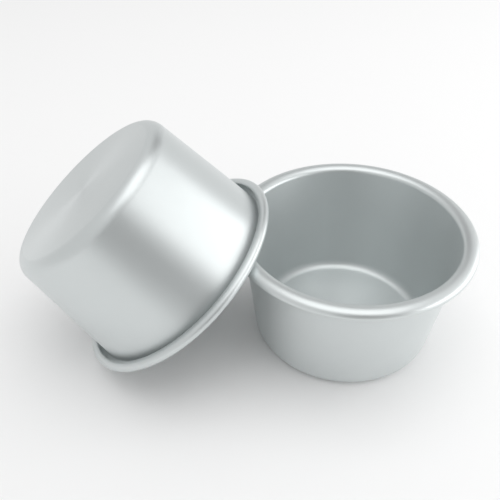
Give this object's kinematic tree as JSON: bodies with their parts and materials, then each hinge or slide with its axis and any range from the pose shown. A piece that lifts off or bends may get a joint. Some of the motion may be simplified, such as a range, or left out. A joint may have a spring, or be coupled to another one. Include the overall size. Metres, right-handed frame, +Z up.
{
  "type": "popover pan",
  "caption": "Round tapered baking cups of spun aluminium with a flat base and a rolled rim; one stands on its base and one leans mouth down against its rim.",
  "frame": {"origin": "middle of the standing pan's base, on the table", "axes": "+Z up, +X from the leaning pan towards the standing pan, -Y towards the viewer"},
  "size_m": [0.1473, 0.08, 0.0754],
  "materials": {
    "satin_aluminium": "satin anodised, with fine marks running round the pan"
  },
  "bodies": {
    "upright": {"upright_pan": "satin_aluminium"},
    "leaning": {"leaning_pan": "satin_aluminium"}
  },
  "joints": [
    {"name": "leaning_lift", "type": "slide", "parent": "upright", "child": "leaning", "axis": [0, 0, 1], "range_m": [0, 0.05]}
  ]
}
